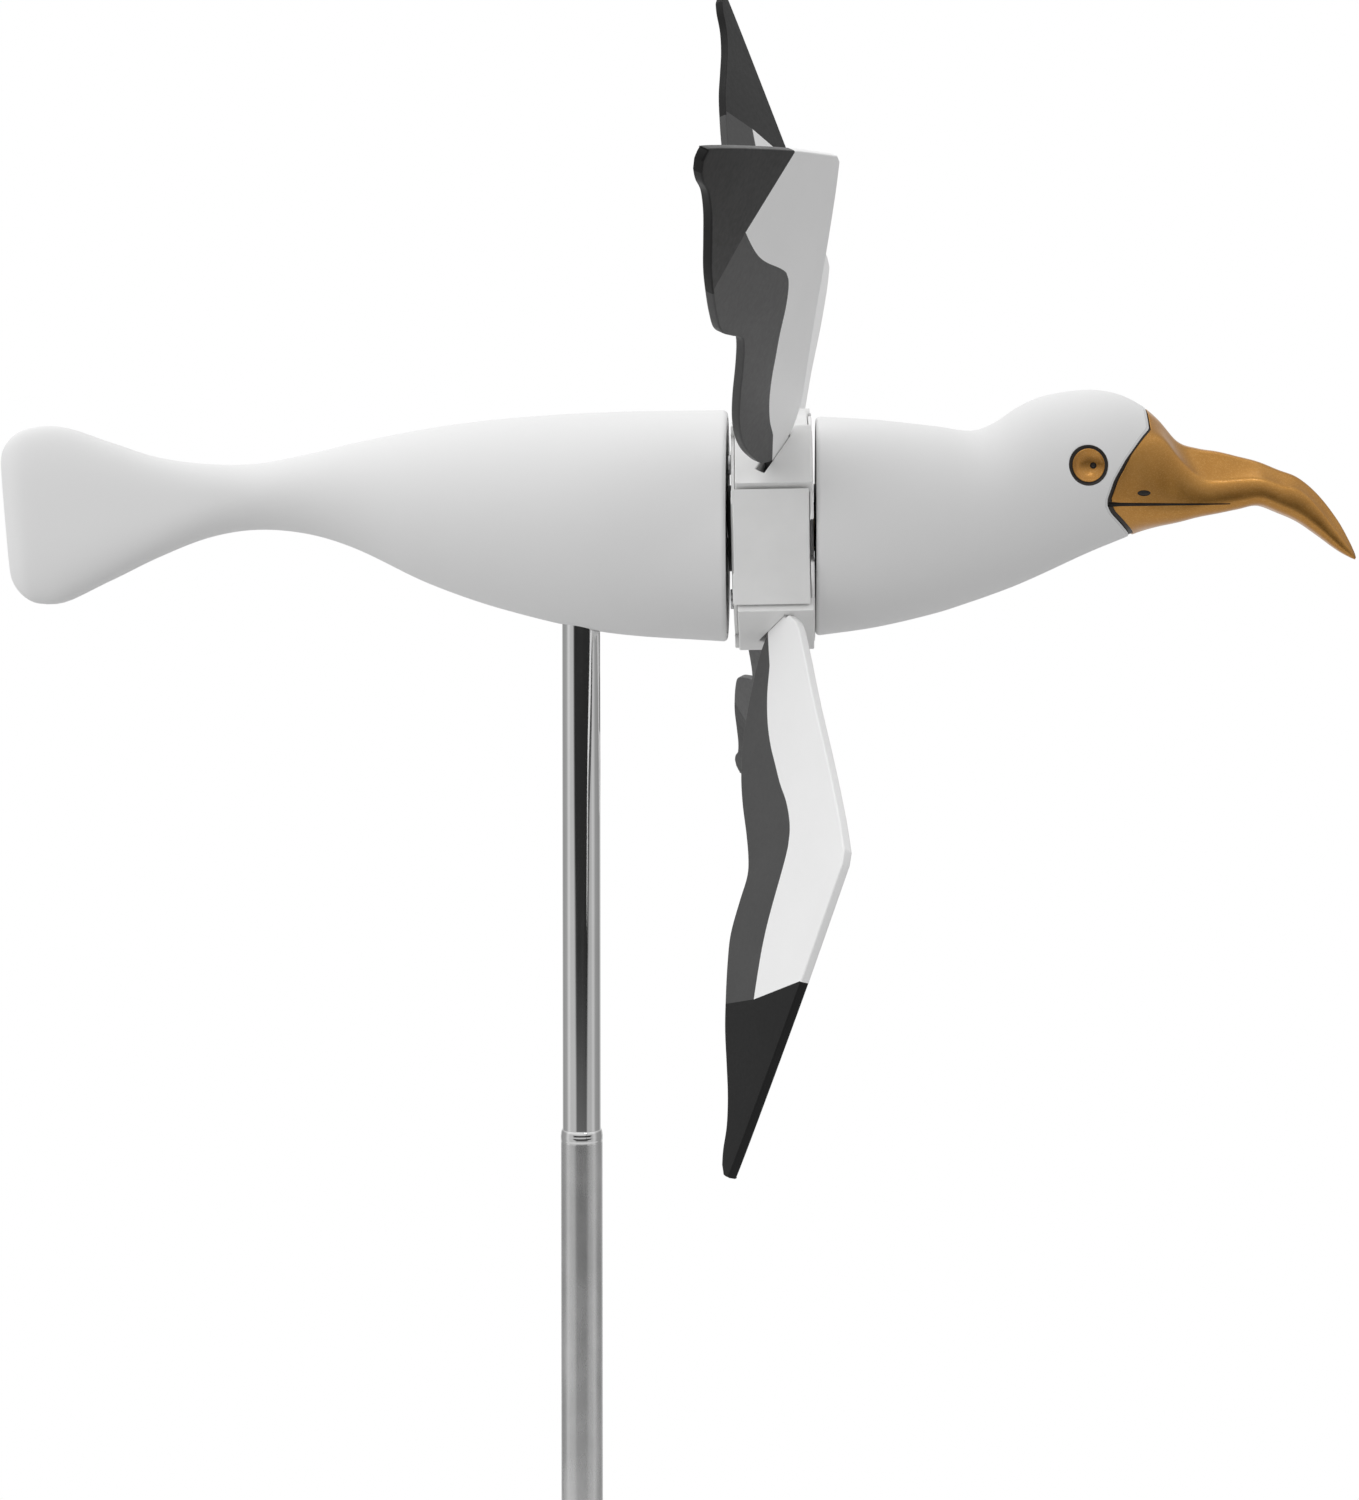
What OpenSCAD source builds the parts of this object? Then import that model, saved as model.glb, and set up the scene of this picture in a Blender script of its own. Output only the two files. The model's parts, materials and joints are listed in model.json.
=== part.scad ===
// Bird-shaped wind spinner on a telescopic garden pole.
// Frame: +X towards the beak, +Y the bird's left, +Z up. The origin is on the pole's axis at ground level,
// at the underside of the spike's collar. Body sizes are measured from the rotor's centre.

/* [Pole] */
// Outside diameter of the top tube
top_tube_d = 11; // [9:0.5:12]
// Growth in diameter from one tube to the next
tube_step = 1; // [1:0.1:1.4]
// Wall of each tube
tube_wall = 0.3; // [0.25:0.01:0.3]
// Bare length of each drawn-out tube
stage_len = 145; // [100:1:200]
// Height of the base tube's mouth above the ground
base_len = 175; // [175:1:260]
// Length that stays inside the next tube when the pole is drawn out
tube_overlap = 22; // [15:1:30]

/* [Ground spike] */
// Diameter of the spike's shank
spike_d = 10; // [6:0.5:12]
// Length of the round shank below the collar
spike_shank = 110; // [60:1:160]
// Length of the point
spike_point = 25; // [10:1:40]
// Diameter of the collar that stops the spike at the ground
collar_d = 22; // [18:1:40]

/* [Bird] */
// How far the rotor's centre is ahead of the pole
hub_ahead = 55; // [52:0.5:58]
// Height of the rotor's centre above the mouth of the tube below the top tube
hub_above_mouth = 174; // [170:1:230]
// Wall of the moulded shells
shell_wall = 2.2; // [1.8:0.1:2.6]
// Diameter of the eye
eye_d = 11.4; // [9:0.1:12]

/* [Rotor] */
// Nose-up tilt of the axle, in degrees
axle_tilt = 1; // [0:0.1:1]
// Diameter of the axle
axle_d = 6; // [5:0.1:6.4]
// Pitch of the wings, measured from the axle, in degrees
pitch = 60; // [50:1:70]
// Angle of the first wing below level on the bird's right, in degrees
first_wing = 57.7; // [0:0.1:90]
// Thickness of a wing
wing_t = 2.5; // [2:0.1:2.6]
// Radial clearance of turning and sliding fits
fit = 0.05; // [0.02:0.01:0.08]

/* [Hidden] */
$fn = 64;

WHITE = "#e9e9e6";
HUB_WHITE = "#dedddb";
GOLD = "#b5822f";
STEEL = "#b9babd";
BRASS = "#b59a56";
BLACK = "#262626";

// ---- pole sizes
lip_len = 2.5;
swage_len = 3;
collar_t = 4;
plug_len = 10;
function tube_r(i) = top_tube_d / 2 + i * tube_step / 2;
mouth_base = base_len;
mouth_lower = mouth_base + stage_len;
mouth_middle = mouth_lower + stage_len;
hub_z = mouth_middle + hub_above_mouth;

// ---- swivel sizes, heights from the rotor's centre
socket_r = 8.5;
socket_low = -23.5;
socket_high = 14;
bore_top = 8;
belly_hole_r = top_tube_d / 2 + 0.5;

// ---- rotor sizes, along the axle from the rotor's centre
axle_r = axle_d / 2;
rear_face = -12.6;
front_face = 12.6;
front_seat = 13.4;
hub_back = -10.9;
hub_nose = 11.9;
disc_t = 3.2;
bush_r = 4.8;
bush_len = 9;
flange_r = 7;
flange_t = 0.4;
washer_r = 12.4;
rear_washer_t = 1;
front_washer_t = 0.6;
block_face = 35.5;
block_half = 10;
block_back = -9.7;
block_nose = 11.6;
block_root = 15;
block_ahead = 1.7;
tab_angle = 27.2;
tab_corner_r = 35.8;
tab_face = tab_corner_r * cos(tab_angle);
tab_t = 3.4;
tab_taper = 2.4;
tab_nose = 10.7;
rim_t = 1;
rim_r = 33;
front_notch = [-4.4, 7.6];
rear_notch = [-7.5, 12];
slot_gap = 0.1;
tenon_u = 21;
tenon_v = [-1.2, 8.8];
slot_v = [-5.5, 9.4];
screw_u = 26.5;
screw_v = 3.8;
screw_r = 1.5;
boss_r = 7.5;
boss_len = 20;
plate_t = 3;
nut_t = 5;
nut_flat = 10;

// ---- outline of the rear body: x, top, bottom, half width, squareness
REAR = [
    [-221.6, 26.4, -20.6, 8.4, 3.2],
    [-207, 29.4, -21.9, 9, 3.2],
    [-192, 25, -15.5, 9.2, 3.2],
    [-178, 20.5, -8.7, 9.2, 3],
    [-163, 18.4, -2.9, 9.5, 2.4],
    [-149, 18.5, -0.6, 10.1, 2],
    [-134, 21.2, -1.8, 12.4, 2],
    [-120, 24.5, -6.1, 16.2, 2],
    [-99, 28.6, -16.1, 23, 2],
    [-77, 31.4, -23.7, 27.9, 2],
    [-48, 33.2, -30.2, 31.8, 2],
    [rear_face, 33.8, -32.9, 33.35, 2]];

// ---- outline of the front body, head and beak
FRONT = [
    [front_face, 32, -31.2, 31.6, 2],
    [30, 31, -28.7, 30, 2],
    [47.5, 29.1, -24.6, 27, 2],
    [58, 27.9, -21.2, 24.4, 2],
    [64.8, 30.6, -18.8, 23.2, 2],
    [70.5, 34.5, -16.6, 22.6, 2],
    [78, 37.8, -13.3, 22, 2],
    [90.7, 39.6, -7.4, 20.2, 2],
    [99.4, 38.4, -3.8, 17.6, 2],
    [106, 35.2, -1.2, 14.6, 2],
    [111, 31.2, 0.2, 11.9, 2],
    [116.7, 25, 1.5, 9.4, 2],
    [122.5, 22.8, 2.9, 7.8, 2],
    [134, 20.5, 5.2, 6.6, 2],
    [139.8, 19, 6.2, 6.2, 2],
    [151.3, 14, 1.5, 5, 2],
    [162.9, 2, -6.3, 2.8, 2],
    [167.8, -7.4, -9.4, 0.8, 2]];

// ---- edge between head and beak, seen from the side
BEAK_EDGE = [[106.5, 60], [106.9, 34.1], [107.1, 27.7], [104.7, 25.2], [99.8, 18.8], [96.4, 12.9],
    [94.6, 7.4], [94.8, 5.5], [96, 3.6], [102, -1.7], [108, -14]];

// ---- outline of a wing: distance from the axle, then distance ahead of the wing's radial line
WING_LEAD = [[36, 11], [41.5, 15.5], [52, 18.8], [70, 23.6], [92, 30.2], [110, 35], [121, 37.2]];
WING_TIP = [[124.2, 36], [148, 14], [171.6, -9], [186, -23.6], [187.2, -25.8], [186, -28]];
WING_TRAIL = [[183, -28.8], [179, -28.2], [173, -26.2], [165, -25.6], [156, -26.2], [146, -27],
    [137, -26.6], [127, -25.5], [119, -23.6], [111.5, -18.5], [106, -14.2], [101, -13.4], [93, -14.4],
    [83, -16.4], [74, -17.2], [65, -16.4], [56, -13.8], [47.5, -10], [41, -6.4], [36.4, -2.2]];

// Rear and front shell screws: x, z, half width of the body there
REAR_SCREWS = [[-76, 4, 28], [-108, 7, 20.3], [-150, 9, 10]];
FRONT_SCREWS = [[52, 3, 26], [78, 12, 22]];

function clamp(v, lo, hi) = min(max(v, lo), hi);
function row_before(tab, x, i = 0) = i >= len(tab) - 2 || x < tab[i + 1][0] ? i : row_before(tab, x, i + 1);
function slope(tab, c, i) =
    let (a = tab[max(i - 1, 0)], b = tab[min(i + 1, len(tab) - 1)])
    (b[c] - a[c]) / (b[0] - a[0]);
// Smooth curve through one column of a table
function at(tab, c, x) =
    let (i = row_before(tab, x), w = tab[i + 1][0] - tab[i][0], t = (x - tab[i][0]) / w)
    (2 * t * t * t - 3 * t * t + 1) * tab[i][c] + (t * t * t - 2 * t * t + t) * w * slope(tab, c, i)
    + (3 * t * t - 2 * t * t * t) * tab[i + 1][c] + (t * t * t - t * t) * w * slope(tab, c, i + 1);
// How far a rounded end pulls the outline in, at a distance s from the end
function round_in(s, r) = s < r ? r - sqrt(r * r - (r - s) * (r - s)) : 0;
function power(v, e) = sign(v) * pow(abs(v), e);
// Stations from x0 to x1, closer together on the rounded ends of radius r0 and r1
function stations(x0, x1, step, r0, r1) =
    let (n = ceil((x1 - x0 - r0 - r1) / step))
    concat([if (r0 > 0) for (a = [6, 22, 42, 65]) x0 + r0 * (1 - cos(a))],
        [for (i = [0:n]) x0 + r0 + (x1 - x0 - r0 - r1) * i / n],
        [if (r1 > 0) for (a = [65, 42, 22, 6]) x1 - r1 * (1 - cos(a))]);
// One cross-section of the bird, drawn over the angles in a list
function section(tab, x, angles, inset, lean) =
    let (top = at(tab, 1, x) - inset, low = at(tab, 2, x) + inset, w = at(tab, 3, x) - inset,
        e = 2 / at(tab, 4, x), mid = (top + low) / 2, h = (top - low) / 2)
    [for (a = angles)
        let (z = mid + h * power(sin(a), e))
        [x - lean * (z - mid), w * power(cos(a), e), z]];

// Solid through a list of sections, each with the same number of points
module loft(rings) {
    n = len(rings[0]);
    m = len(rings);
    points = [for (r = rings) each r];
    sides = [for (i = [0:m - 2]) for (k = [0:n - 1]) let (a = i * n + k, b = i * n + (k + 1) % n)
        each [[a, b + n, b], [a, a + n, b + n]]];
    start = [for (k = [0:n - 1]) k];
    end = [for (k = [n - 1:-1:0]) (m - 1) * n + k];
    polyhedron(points, concat([start], sides, [end]));
}

HALF = [for (i = [0:14]) -90 + 180 * i / 14];
FULL = [for (i = [0:23]) 360 * i / 24];
tail_round = 8.5;
tail_lean = 0.08;
rim_round = 1.4;
function tail_slant(x) = tail_lean * clamp((-200 - x) / 20, 0, 1);

// Left half of the rear body's outer form
module rear_form() {
    x0 = REAR[0][0];
    loft([for (x = stations(x0, rear_face, 8, tail_round, rim_round))
        let (inset = round_in(x - x0, tail_round) + round_in(rear_face - x, rim_round))
        section(REAR, x, HALF, inset, tail_slant(x))]);
}
module rear_hollow() {
    x0 = REAR[0][0] + 5;
    loft([for (x = stations(x0, rear_face, 13, 4, 0))
        section(REAR, x, FULL, shell_wall + round_in(x - x0, 4), tail_slant(x))]);
    translate([rear_face - 1, 0, 0.45])
        rotate([0, 90, 0])
            cylinder(h = 2, r = 33.35 - shell_wall - 0.3);
}
// Left half of the head's outer form, with the beak's root
module front_form() {
    loft([for (x = stations(front_face, 112, 5.5, rim_round, 0))
        section(FRONT, x, HALF, round_in(x - front_face, rim_round), 0)]);
}
module front_hollow() {
    loft([for (x = stations(front_face, 112, 7.5, 0, 0)) section(FRONT, x, FULL, shell_wall, 0)]);
    translate([front_face - 1, 0, 0.4])
        rotate([0, 90, 0])
            cylinder(h = 2, r = 31.6 - shell_wall - 0.3);
}
// Everything ahead of the edge between head and beak
module beak_side() {
    rotate([90, 0, 0])
        linear_extrude(height = 80, center = true)
            polygon(concat(BEAK_EDGE, [[200, -14], [200, 60]]));
}
module head_side() {
    rotate([90, 0, 0])
        linear_extrude(height = 80, center = true)
            polygon(concat([[60, 60]], BEAK_EDGE, [[60, -14]]));
}

// Children placed from the rotor's centre
module at_hub() translate([hub_ahead, 0, hub_z]) children();
// Children placed along the tilted axle, with its length on X
module on_axle() at_hub() rotate([0, -axle_tilt, 0]) children();
// A cylinder along X from x0 to x1
module rod_x(x0, x1, r) translate([x0, 0, 0]) rotate([0, 90, 0]) cylinder(h = x1 - x0, r = r);
// A cylinder along Y from y0 to y1
module rod_y(y0, y1, r) translate([0, y1, 0]) rotate([90, 0, 0]) cylinder(h = y1 - y0, r = r);

// ---------------------------------------------------------------- pole

module ground_spike() color(STEEL) {
    plug_r = tube_r(3) - tube_wall;
    low = -spike_shank - spike_point;
    rotate_extrude()
        polygon([[0, low], [0.6, low], [spike_d / 2, -spike_shank], [spike_d / 2, 0], [collar_d / 2, 0],
            [collar_d / 2, collar_t - 1], [collar_d / 2 - 1, collar_t], [plug_r, collar_t],
            [plug_r, collar_t + plug_len], [0, collar_t + plug_len]]);
}

// One thin tube: foot_r is the outside radius of its swaged foot,
// and lip_r is the inside radius of its rolled mouth
module tube(r, low, high, foot_r, lip_r) {
    ri = r - tube_wall;
    rotate_extrude()
        polygon([[ri, low], [foot_r, low], [foot_r, low + swage_len], [r, low + swage_len + 1],
            [r, high - 1.6], [r - 0.12, high - 0.7], [r - 0.35, high - 0.15], [r - 0.55, high],
            [lip_r, high], [lip_r, high - lip_len], [ri, high - lip_len - 0.6]]);
}
// Tube i of the pole, counted down from the top tube
module stage(i, low, high) {
    r = tube_r(i);
    foot = i < 3 ? r + tube_step / 2 - tube_wall - fit : r;
    tube(r, low, high, foot, r - tube_step / 2 + fit);
}
module base_tube() color(STEEL) stage(3, collar_t, mouth_base);
module lower_tube() color(STEEL) stage(2, mouth_base - tube_overlap, mouth_lower);
module middle_tube() color(STEEL) stage(1, mouth_lower - tube_overlap, mouth_middle);
module top_tube() color(STEEL) {
    r = tube_r(0);
    low = mouth_middle - tube_overlap;
    foot = r + tube_step / 2 - tube_wall - fit;
    rotate_extrude()
        polygon([[r - tube_wall, low], [foot, low], [foot, low + swage_len], [r, low + swage_len + 1],
            [r, hub_z], [r - tube_wall, hub_z]]);
}
// Domed plug in the top tube's end, which the bird turns on
module pivot_cap() color(BRASS) {
    ri = top_tube_d / 2 - tube_wall;
    translate([0, 0, hub_z])
        rotate_extrude()
            polygon(concat([[0, -12], [ri, -12], [ri, 0], [ri + tube_wall, 0], [ri + tube_wall, 1.5]],
                [for (a = [0:10:90]) [ri * cos(a), 1.5 + (bore_top - 1.5 - fit) * sin(a)]]));
}

// ---------------------------------------------------------------- bird, fixed parts

module swivel_socket() color(BLACK) translate([0, 0, hub_z]) difference() {
    translate([0, 0, socket_low])
        cylinder(h = socket_high - socket_low, r = socket_r);
    translate([0, 0, socket_low - 1])
        cylinder(h = bore_top - socket_low + 1, r = top_tube_d / 2 + fit);
}

// Shelf that grips the swivel socket, on the left half
module socket_shelf(z) {
    difference() {
        translate([-hub_ahead - 12, 0, z])
            cube([24, 27, 2]);
        translate([-hub_ahead, 0, z - 1])
            cylinder(h = 4, r = socket_r + fit);
    }
}
// Blind post that a shell screw bites into, on the left half
module screw_post(s) translate([s[0], 0, s[1]]) rod_y(0, s[2] - shell_wall / 2, 3.4);
module rear_half() {
    difference() {
        rear_form();
        rear_hollow();
        translate([-hub_ahead, 0, -45])
            cylinder(h = 40, r = belly_hole_r);
    }
    socket_shelf(-15);
    socket_shelf(9);
    for (s = REAR_SCREWS)
        screw_post(s);
}
module front_half() {
    difference() {
        front_form();
        front_hollow();
        beak_side();
        eye_place() rod_y(-8, 8, eye_d / 2 + 0.1);
    }
    for (s = FRONT_SCREWS)
        screw_post(s);
}
head_r = 2.9;
// Screw's passage through the left half: its shank and its sunk head
module screw_hole(s) translate([s[0], 0, s[1]]) {
    rod_y(-1, s[2] + 5, screw_r + 0.2);
    rod_y(s[2] - 4.5, s[2] + 6, head_r + 0.2);
}
module shell_screw(s) translate([s[0], 0, s[1]]) {
    rod_y(-s[2] + 5, s[2] - 4.5, screw_r);
    difference() {
        rod_y(s[2] - 4.5, s[2] - 2.5, head_r);
        for (a = [0, 90])
            translate([0, s[2] - 2.5, 0])
                rotate([0, a, 0])
                    cube([0.7, 1.6, 3.4], center = true);
    }
}
// Pilot hole in the right half's post, drawn for the left half before it is mirrored
module pilot_hole(s) translate([s[0], 0, s[1]]) rod_y(-1, s[2] - 4.4, screw_r);

module rear_shell_left() color(WHITE) at_hub() difference() {
    rear_half();
    for (s = REAR_SCREWS)
        screw_hole(s);
}
module rear_shell_right() color(WHITE) at_hub() mirror([0, 1, 0]) difference() {
    rear_half();
    for (s = REAR_SCREWS)
        pilot_hole(s);
}
module rear_shell_screws() color(STEEL) at_hub() for (s = REAR_SCREWS) shell_screw(s);

module front_shell_left() color(WHITE) at_hub() difference() {
    front_half();
    for (s = FRONT_SCREWS)
        screw_hole(s);
}
module front_shell_right() color(WHITE) at_hub() mirror([0, 1, 0]) difference() {
    front_half();
    for (s = FRONT_SCREWS)
        pilot_hole(s);
}
module front_shell_screws() color(STEEL) at_hub() for (s = FRONT_SCREWS) shell_screw(s);

// Disc that closes one half of the body and holds the axle: x is its face towards the rotor,
// and dir points into the body
module bulkhead(x, dir, r, mid) difference() {
    union() {
        translate([0, 0, mid])
            rod_x(min(x, x + dir * plate_t), max(x, x + dir * plate_t), r);
        rod_x(min(x, x + dir * boss_len), max(x, x + dir * boss_len), boss_r);
    }
    rotate([0, -axle_tilt, 0])
        rod_x(-60, 60, axle_r);
}
module rear_bulkhead() color(HUB_WHITE) at_hub() bulkhead(rear_face - 0.1, -1, 30.7, 0.45);
module front_bulkhead() color(HUB_WHITE) at_hub() bulkhead(front_seat, 1, 28.5, 0.4);

axle_back = rear_face - boss_len - nut_t - 3;
axle_nose = front_seat + boss_len + nut_t + 2.7;
module axle() color(STEEL) on_axle() difference() {
    rod_x(axle_back, axle_nose, axle_r);
    rod_x(axle_back - 1, axle_back + 1, 1);
}
module axle_nut(x) difference() {
    translate([x, 0, 0])
        rotate([0, 90, 0])
            cylinder(h = nut_t, r = nut_flat / sqrt(3), $fn = 6);
    rod_x(x - 1, x + nut_t + 1, axle_r);
}
module axle_nuts() color(STEEL) on_axle() {
    axle_nut(rear_face - 0.5 - boss_len - nut_t);
    axle_nut(front_seat + 0.2 + boss_len);
}
module washer(x, t) difference() {
    rod_x(x, x + t, washer_r);
    rod_x(x - 1, x + t + 1, axle_r);
}
module rear_washer() color(BLACK) on_axle() washer(hub_back - flange_t - 0.1 - rear_washer_t, rear_washer_t);
module front_washer() color(BLACK) on_axle() washer(hub_nose + flange_t + 0.05, front_washer_t);

module beak() color(GOLD) at_hub() difference() {
    loft([for (x = stations(94, 167.8, 4.5, 0, 0)) section(FRONT, x, FULL, 0, 0)]);
    head_side();
}

// Where the eye sits on the left side of the head
eye_x = 89;
eye_z = 17;
eye_y = 19.75;
eye_turn = 12;
module eye_place() translate([eye_x, eye_y, eye_z]) rotate([0, 0, -eye_turn]) children();
module eye() eye_place() difference() {
    rod_y(-shell_wall - 1, 0.5, eye_d / 2);
    translate([0, 14.6, 0])
        sphere(r = 15);
}
module eye_left() color(GOLD) at_hub() eye();
module eye_right() color(GOLD) at_hub() mirror([0, 1, 0]) eye();

// ---------------------------------------------------------------- rotor

// Children turned to the wing whose number is i, with the wing's radial line on -Y
module at_wing(i) rotate([first_wing - 90 * i, 0, 0]) children();
// Children drawn in a wing's own plane: X outwards, Y towards its leading edge, Z its thickness
module in_wing_plane() rotate([0, -pitch, 0]) rotate([0, 0, -90]) children();
// A plate in the wing's plane between two distances out and two distances ahead
module wing_plate(u0, u1, v, t) translate([u0, v[0], -t / 2]) cube([u1 - u0, v[1] - v[0], t]);

// Children turned to the middle of the wing block whose number is i
module at_block(i) at_wing(i) rotate([-block_ahead, 0, 0]) children();
// Children turned to the middle of the plain tab between two blocks
module at_tab(i) at_block(i) rotate([45, 0, 0]) children();
// Screw's place in a wing block
module at_screw(i) at_wing(i) translate([0, -screw_u, screw_v]) children();

// Four slotted wing blocks, joined by a notched disc at the front
module hub_front() color(HUB_WHITE) on_axle() difference() {
    union() {
        rod_x(hub_nose - rim_t, hub_nose, rim_r);
        rod_x(hub_nose - disc_t, hub_nose, tab_face - tab_t - 0.4);
        rod_x(-0.5, hub_nose, boss_r);
        for (i = [0:3])
            at_block(i)
                translate([block_back, -block_face, -block_half])
                    cube([block_nose - block_back, block_face - block_root, 2 * block_half]);
    }
    rod_x(hub_nose - bush_len, hub_nose + 1, bush_r);
    rod_x(-1, hub_nose, axle_r + 1);
    for (i = [0:3]) {
        at_wing(i) in_wing_plane()
            wing_plate(tenon_u - 0.5, block_face + 3, slot_v, wing_t + 2 * slot_gap);
        at_screw(i) rod_x(hub_back, hub_nose - 3, screw_r);
        at_tab(i)
            translate([hub_nose - rim_t, -rim_r - 1, front_notch[0]])
                cube([rim_t + 1, 11, front_notch[1] - front_notch[0]]);
    }
}

// Plain tab between two wing blocks, with its flat face on -Y
module tab() {
    half = tab_corner_r * sin(tab_angle);
    translate([hub_back, 0, 0])
        rotate([0, 90, 0])
            linear_extrude(height = tab_nose - hub_back)
                polygon([[-half, -tab_face], [half, -tab_face],
                    [half - tab_taper, tab_t - tab_face], [tab_taper - half, tab_t - tab_face]]);
}
// Four plain tabs, joined by a notched disc at the rear
module hub_rear() color(HUB_WHITE) on_axle() difference() {
    union() {
        rod_x(hub_back, hub_back + rim_t, tab_face - 0.4);
        rod_x(hub_back, -0.7, boss_r);
        for (i = [0:3])
            at_tab(i) tab();
    }
    rod_x(hub_back - 1, hub_back + bush_len, bush_r);
    rod_x(hub_back, 0, axle_r + 1);
    for (i = [0:3]) {
        at_screw(i) rod_x(hub_back - 1, hub_back + 2, screw_r + 0.2);
        at_tab(i)
            translate([hub_back - 1, -tab_corner_r, rear_notch[0]])
                cube([1.4, 6.5, rear_notch[1] - rear_notch[0]]);
    }
}
module bush(x, dir) difference() {
    union() {
        rod_x(min(x, x + dir * bush_len), max(x, x + dir * bush_len), bush_r);
        rod_x(min(x, x - dir * flange_t), max(x, x - dir * flange_t), flange_r);
    }
    rod_x(x - bush_len - 1, x + bush_len + 1, axle_r + fit);
}
module rear_bush() color(BRASS) on_axle() bush(hub_back, 1);
module front_bush() color(BRASS) on_axle() bush(hub_nose, -1);

module hub_screws() color(STEEL) on_axle() for (i = [0:3]) {
    at_screw(i) rod_x(hub_back, hub_nose - 3, screw_r);
    at_screw(i) rod_x(hub_back - 0.9, hub_back, 2.8);
}

WING_OUTLINE = concat([[tenon_u, tenon_v[0]], [tenon_u, tenon_v[1]], [35.8, tenon_v[1]]],
    curve(WING_LEAD), curve(WING_TIP), curve(WING_TRAIL), [[35.8, tenon_v[0]]]);
// Smooth open curve through a list of points, three steps to a span
function curve(p) =
    let (n = len(p))
    concat([for (i = [0:n - 2]) for (t = [0, 1 / 3, 2 / 3])
        let (a = p[max(i - 1, 0)], b = p[i], c = p[i + 1], d = p[min(i + 2, n - 1)])
        b + 0.5 * (c - a) * t + (a - 2.5 * b + 2 * c - 0.5 * d) * t * t
            + 0.5 * (3 * b - a - 3 * c + d) * t * t * t],
        [p[n - 1]]);
module wing(i) on_axle() at_wing(i) difference() {
    in_wing_plane()
        translate([0, 0, -wing_t / 2])
            linear_extrude(height = wing_t)
                polygon(WING_OUTLINE);
    translate([0, -screw_u, screw_v])
        rod_x(hub_back, hub_nose, screw_r + 0.15);
}
module wing_1() color(WHITE) wing(0);
module wing_2() color(WHITE) wing(1);
module wing_3() color(WHITE) wing(2);
module wing_4() color(WHITE) wing(3);

ground_spike();
base_tube();
lower_tube();
middle_tube();
top_tube();
pivot_cap();
swivel_socket();
rear_shell_left();
rear_shell_right();
rear_bulkhead();
rear_shell_screws();
axle();
axle_nuts();
rear_washer();
front_washer();
front_bulkhead();
front_shell_left();
front_shell_right();
front_shell_screws();
beak();
eye_left();
eye_right();
hub_rear();
hub_front();
rear_bush();
front_bush();
hub_screws();
wing_1();
wing_2();
wing_3();
wing_4();
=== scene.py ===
import json
import math

import bmesh
import bpy
from mathutils import Matrix, Vector
from mathutils.geometry import delaunay_2d_cdt


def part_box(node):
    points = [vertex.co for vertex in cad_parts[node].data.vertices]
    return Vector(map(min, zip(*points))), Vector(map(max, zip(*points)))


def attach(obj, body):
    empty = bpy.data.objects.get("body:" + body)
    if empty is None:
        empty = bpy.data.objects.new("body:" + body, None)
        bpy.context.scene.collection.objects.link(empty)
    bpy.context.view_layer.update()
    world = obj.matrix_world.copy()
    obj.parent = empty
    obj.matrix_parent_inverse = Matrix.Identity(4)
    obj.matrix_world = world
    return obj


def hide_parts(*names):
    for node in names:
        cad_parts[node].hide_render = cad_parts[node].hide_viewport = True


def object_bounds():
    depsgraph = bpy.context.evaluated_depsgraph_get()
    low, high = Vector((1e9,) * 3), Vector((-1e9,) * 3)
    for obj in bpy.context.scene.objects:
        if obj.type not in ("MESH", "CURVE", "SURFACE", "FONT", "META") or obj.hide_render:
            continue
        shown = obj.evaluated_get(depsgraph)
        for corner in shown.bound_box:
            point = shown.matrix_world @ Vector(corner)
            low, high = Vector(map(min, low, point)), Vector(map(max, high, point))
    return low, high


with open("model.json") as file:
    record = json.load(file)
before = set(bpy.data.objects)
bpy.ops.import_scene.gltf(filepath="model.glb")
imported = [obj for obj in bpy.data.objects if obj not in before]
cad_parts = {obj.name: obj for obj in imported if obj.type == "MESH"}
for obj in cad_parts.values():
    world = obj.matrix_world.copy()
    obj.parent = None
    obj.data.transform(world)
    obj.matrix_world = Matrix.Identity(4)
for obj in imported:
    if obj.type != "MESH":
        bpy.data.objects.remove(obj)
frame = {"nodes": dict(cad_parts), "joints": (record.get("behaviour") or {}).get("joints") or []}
cad_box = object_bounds()

MM = 0.001
JOINTS = {joint["name"]: joint for joint in frame["joints"]}
HUB = Vector(JOINTS["wing_spin"]["pos_m"])
AXLE = Vector(JOINTS["wing_spin"]["axis"]).normalized()

# ---------------------------------------------------------------- sizes, in millimetres

REAR_FACE = -12.6       # the rear body's open end
FRONT_FACE = 12.6       # the front body's open end
SHELL_WALL = 2.2
RIM_ROUND = 1.4         # radius on the bodies' open ends
TAIL_ROUND = 8.5        # radius round the tail's end
TAIL_LEAN = 0.08        # how far the tail's end leans, as a slope
TAIL_LEAN_X = -200      # the lean starts here
TAIL_LEAN_RUN = 20      # and is full this much further out
SEAM_GAP = 0.07         # half the gap between the two halves of a body
SEAM_BEVEL = 0.16       # softened edge along that gap
BELLY_HOLE_R = 6.0
SCREW_HEAD_R = 3.1
SCREW_SINK = 2.5        # depth of a sunk screw head
SAME_SCREW = 8          # points of a screw lie within this distance of each other, lengthways

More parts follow.
